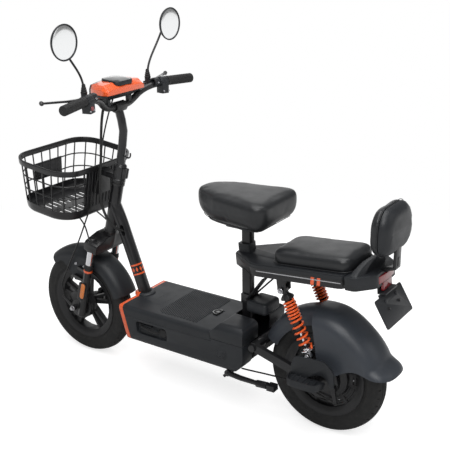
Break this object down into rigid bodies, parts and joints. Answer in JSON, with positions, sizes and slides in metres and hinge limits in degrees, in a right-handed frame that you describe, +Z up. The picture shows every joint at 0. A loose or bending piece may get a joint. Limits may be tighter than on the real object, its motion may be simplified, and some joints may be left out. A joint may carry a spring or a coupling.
{
  "type": "electric scooter",
  "caption": "Seated electric scooter with a basket, battery deck, sprung fork and swingarm, padded rider seat, rear cushion with backrest, mirrors and drum brakes.",
  "frame": {"origin": "on the ground under the middle of the scooter's length, in its mid plane", "axes": "+X runs to the rear of the scooter, +Y to the rider's right, +Z up"},
  "size_m": [1.3864, 0.6268, 1.206],
  "materials": {
    "frame_paint": "satin black paint",
    "black_moulding": "fine matt grain",
    "tyre_rubber": "matt black rubber",
    "grip_rubber": "matt black rubber",
    "cast_alloy": "black coated casting",
    "orange_moulding": "glossy orange",
    "orange_spring": "orange powder coat",
    "chrome_rod": "polished",
    "seat_vinyl": "smooth black vinyl",
    "dark_pane": "smoked clear window",
    "red_lens": "red lens",
    "lamp_lens": "clear lens over a bright bowl",
    "mirror_plastic": "black back with a silvered face",
    "battery_case": "black wrapped case"
  },
  "bodies": {
    "frame": {"main_frame": "frame_paint", "rear_frame": "frame_paint", "deck_tray": "black_moulding", "deck_hump": "black_moulding", "front_trim": "orange_moulding", "battery_pack": "battery_case", "controller": "cast_alloy", "seat_pan": "black_moulding", "seat_cushion": "seat_vinyl", "rack_cover": "black_moulding", "passenger_cushion": "seat_vinyl", "tail_cover": "black_moulding", "tail_light": "red_lens", "backrest_strap": "frame_paint", "backrest_shell": "black_moulding", "backrest_pad": "seat_vinyl", "rear_plate": "black_moulding"},
    "steering": {"fork_crown": "frame_paint", "stem": "frame_paint", "basket": "black_moulding", "handlebar": "frame_paint", "cowl": "orange_moulding", "display": "dark_pane", "headlight": "lamp_lens", "grip_left": "grip_rubber", "control_box_left": "black_moulding", "control_box_right": "black_moulding", "control_cables": "grip_rubber", "front_brake_cable": "grip_rubber"},
    "fork_lowers": {"fork_lowers": "frame_paint", "front_fender": "black_moulding"},
    "front_wheel": {"front_wheel": "cast_alloy", "front_tyre": "tyre_rubber"},
    "front_brake_arm": {"front_brake_arm": "cast_alloy"},
    "swingarm": {"swingarm": "frame_paint", "rear_fender": "black_moulding", "footrest_left": "black_moulding", "footrest_right": "black_moulding", "rear_brake_cable": "grip_rubber"},
    "rear_wheel": {"rear_wheel": "cast_alloy", "rear_tyre": "tyre_rubber"},
    "rear_brake_arm": {"rear_brake_arm": "cast_alloy"},
    "throttle_grip": {"throttle_grip": "grip_rubber"},
    "horn_button": {"horn_button": "red_lens"},
    "kickstand": {"kickstand": "frame_paint"},
    "deck_lid": {"deck_lid": "black_moulding"},
    "lid_latch": {"lid_latch": "black_moulding"},
    "charge_cap": {"charge_cap": "grip_rubber"},
    "shock_body_left": {"shock_body_left": "frame_paint", "shock_spring_left": "orange_spring"},
    "shock_rod_left": {"shock_rod_left": "chrome_rod"},
    "brake_lever_left": {"brake_lever_left": "cast_alloy"},
    "mirror_stem_left": {"mirror_stem_left": "black_moulding"},
    "mirror_head_left": {"mirror_head_left": "mirror_plastic"},
    "shock_body_right": {"shock_body_right": "frame_paint", "shock_spring_right": "orange_spring"},
    "shock_rod_right": {"shock_rod_right": "chrome_rod"},
    "brake_lever_right": {"brake_lever_right": "cast_alloy"},
    "mirror_stem_right": {"mirror_stem_right": "black_moulding"},
    "mirror_head_right": {"mirror_head_right": "mirror_plastic"}
  },
  "joints": [
    {"name": "steering_turn", "type": "hinge", "parent": "frame", "child": "steering", "pos_m": [-0.45957, 0, 0.17792], "axis": [0.2504, 0, 0.9681], "range_deg": [-40, 40], "deforming": ["control_cables"]},
    {"name": "fork_slide", "type": "slide", "parent": "steering", "child": "fork_lowers", "axis": [0.2504, 0, 0.9681], "range_m": [0, 0.03], "stiffness_N_per_m": 9000, "springref_m": -0.03, "deforming": ["front_brake_cable"]},
    {"name": "front_wheel_spin", "type": "hinge", "parent": "fork_lowers", "child": "front_wheel", "pos_m": [-0.50381, 0, 0.18937], "axis": [0, 1, 0], "continuous": true},
    {"name": "swingarm_swing", "type": "hinge", "parent": "frame", "child": "swingarm", "pos_m": [0.26019, 0, 0.256], "axis": [0, -1, 0], "range_deg": [0, 10], "stiffness_Nm_per_rad": 600, "springref_deg": -11.46, "deforming": ["rear_brake_cable"]},
    {"name": "rear_wheel_spin", "type": "hinge", "parent": "swingarm", "child": "rear_wheel", "pos_m": [0.46419, 0, 0.18937], "axis": [0, 1, 0], "continuous": true},
    {"name": "shock_tilt_left", "type": "hinge", "parent": "frame", "child": "shock_body_left", "pos_m": [0.35719, -0.083, 0.468], "axis": [0, -1, 0], "range_deg": [0, 2.5]},
    {"name": "shock_slide_left", "type": "slide", "parent": "shock_body_left", "child": "shock_rod_left", "axis": [-0.4185, 0, 0.9082], "range_m": [0, 0.0315], "deforming": ["shock_spring_left"]},
    {"name": "brake_squeeze_left", "type": "hinge", "parent": "steering", "child": "brake_lever_left", "pos_m": [-0.31381, -0.15, 0.966], "axis": [0, 0, 1], "range_deg": [0, 20], "stiffness_Nm_per_rad": 2, "springref_deg": -8.59},
    {"name": "mirror_swivel_left", "type": "hinge", "parent": "steering", "child": "mirror_stem_left", "pos_m": [-0.31581, -0.154, 0.985], "axis": [0, 0, 1], "range_deg": [-25, 25]},
    {"name": "mirror_tilt_left", "type": "hinge", "parent": "mirror_stem_left", "child": "mirror_head_left", "pos_m": [-0.31381, -0.25, 1.152], "axis": [0, 1, 0], "range_deg": [-12, 12]},
    {"name": "shock_tilt_right", "type": "hinge", "parent": "frame", "child": "shock_body_right", "pos_m": [0.35719, 0.083, 0.468], "axis": [0, -1, 0], "range_deg": [0, 2.5]},
    {"name": "shock_slide_right", "type": "slide", "parent": "shock_body_right", "child": "shock_rod_right", "axis": [-0.4185, 0, 0.9082], "range_m": [0, 0.0315], "deforming": ["shock_spring_right"]},
    {"name": "brake_squeeze_right", "type": "hinge", "parent": "steering", "child": "brake_lever_right", "pos_m": [-0.31381, 0.15, 0.966], "axis": [0, 0, -1], "range_deg": [0, 20], "stiffness_Nm_per_rad": 2, "springref_deg": -8.59},
    {"name": "mirror_swivel_right", "type": "hinge", "parent": "steering", "child": "mirror_stem_right", "pos_m": [-0.31581, 0.154, 0.985], "axis": [0, 0, 1], "range_deg": [-25, 25]},
    {"name": "mirror_tilt_right", "type": "hinge", "parent": "mirror_stem_right", "child": "mirror_head_right", "pos_m": [-0.31381, 0.25, 1.152], "axis": [0, 1, 0], "range_deg": [-12, 12]},
    {"name": "front_brake_turn", "type": "hinge", "parent": "fork_lowers", "child": "front_brake_arm", "pos_m": [-0.53736, 0, 0.17945], "axis": [0, 1, 0], "range_deg": [0, 10]},
    {"name": "rear_brake_turn", "type": "hinge", "parent": "swingarm", "child": "rear_brake_arm", "pos_m": [0.51419, 0, 0.17537], "axis": [0, 1, 0], "range_deg": [0, 10]},
    {"name": "throttle_twist", "type": "hinge", "parent": "steering", "child": "throttle_grip", "pos_m": [-0.27481, 0.199, 0.971], "axis": [0.1803, 0.9826, -0.0451], "range_deg": [0, 60], "stiffness_Nm_per_rad": 0.25, "springref_deg": -11.46},
    {"name": "horn_press", "type": "slide", "parent": "steering", "child": "horn_button", "axis": [-1, 0, 0], "range_m": [0, 0.0015], "stiffness_N_per_m": 300, "springref_m": -0.002},
    {"name": "stand_turn", "type": "hinge", "parent": "frame", "child": "kickstand", "pos_m": [0.16819, -0.098, 0.143], "axis": [0, 1, 0], "range_deg": [0, 68]},
    {"name": "lid_lift", "type": "slide", "parent": "frame", "child": "deck_lid", "axis": [0, 0, 1], "range_m": [0, 0.15]},
    {"name": "latch_slide", "type": "slide", "parent": "deck_lid", "child": "lid_latch", "axis": [1, 0, 0], "range_m": [0, 0.006], "stiffness_N_per_m": 150, "springref_m": -0.003},
    {"name": "cap_open", "type": "hinge", "parent": "frame", "child": "charge_cap", "pos_m": [-0.09681, -0.10947, 0.2145], "axis": [0, 0, -1], "range_deg": [0, 110]}
  ],
  "couplings": [
    {"joint": "shock_tilt_left", "follows": "swingarm_swing", "ratio": 0.245},
    {"joint": "shock_slide_left", "follows": "swingarm_swing", "m_per_rad": 0.1793},
    {"joint": "shock_tilt_right", "follows": "swingarm_swing", "ratio": 0.245},
    {"joint": "shock_slide_right", "follows": "swingarm_swing", "m_per_rad": 0.1793},
    {"joint": "front_brake_turn", "follows": "brake_squeeze_right", "ratio": 0.5},
    {"joint": "rear_brake_turn", "follows": "brake_squeeze_left", "ratio": 0.5}
  ]
}
